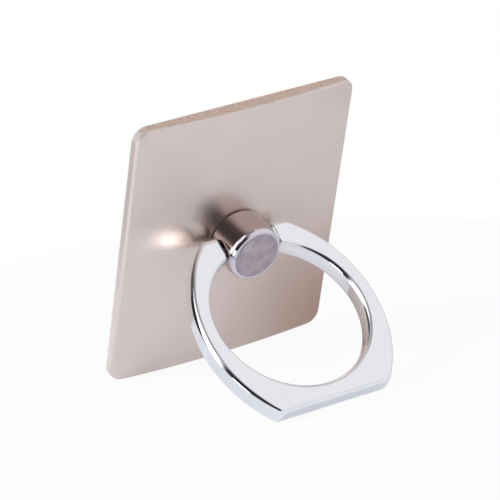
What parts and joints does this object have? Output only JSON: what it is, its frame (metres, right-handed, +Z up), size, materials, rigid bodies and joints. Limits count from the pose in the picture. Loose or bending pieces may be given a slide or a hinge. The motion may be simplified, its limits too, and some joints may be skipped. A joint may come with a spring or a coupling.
{
  "type": "phone ring holder",
  "caption": "Stick-on phone holder: a thin crowned plate carries a swivelling post and a folding flat-footed ring that serves as finger loop and stand.",
  "frame": {"origin": "on the table, under the middle of the standing holder's bounding box", "axes": "+Z up from the table, -Y the way the ring swings out and the plate's front looks, +X across the plate along the ring's hinge"},
  "size_m": [0.034, 0.0306, 0.0384],
  "materials": {
    "champagne_anodised": "satin anodised, bead blasted",
    "pad_foam": "closed-cell acrylic foam, smooth tacky face",
    "nylon": "moulded",
    "spring_steel": "stamped",
    "pin_steel": "turned",
    "chrome_plate": "polished chrome on a zinc casting",
    "satin_disc": "satin"
  },
  "bodies": {
    "base": {"base_plate": "champagne_anodised", "adhesive_pad": "pad_foam", "glide_washer": "nylon", "spring_washer": "spring_steel"},
    "swivel": {"swivel_post": "chrome_plate", "front_disc": "satin_disc", "thrust_washer": "spring_steel", "retaining_clip": "spring_steel", "hinge_pin_left": "pin_steel", "hinge_pin_right": "pin_steel", "hinge_spring": "spring_steel"},
    "ring": {"finger_ring": "chrome_plate"}
  },
  "joints": [
    {"name": "post_swivel", "type": "hinge", "parent": "base", "child": "swivel", "pos_m": [0, 0.0041, 0.01794], "axis": [0, -0.9445, -0.3285], "continuous": true},
    {"name": "ring_fold", "type": "hinge", "parent": "swivel", "child": "ring", "pos_m": [0, 0.0041, 0.01794], "axis": [-1, 0, 0], "range_deg": [-70, 116]}
  ]
}
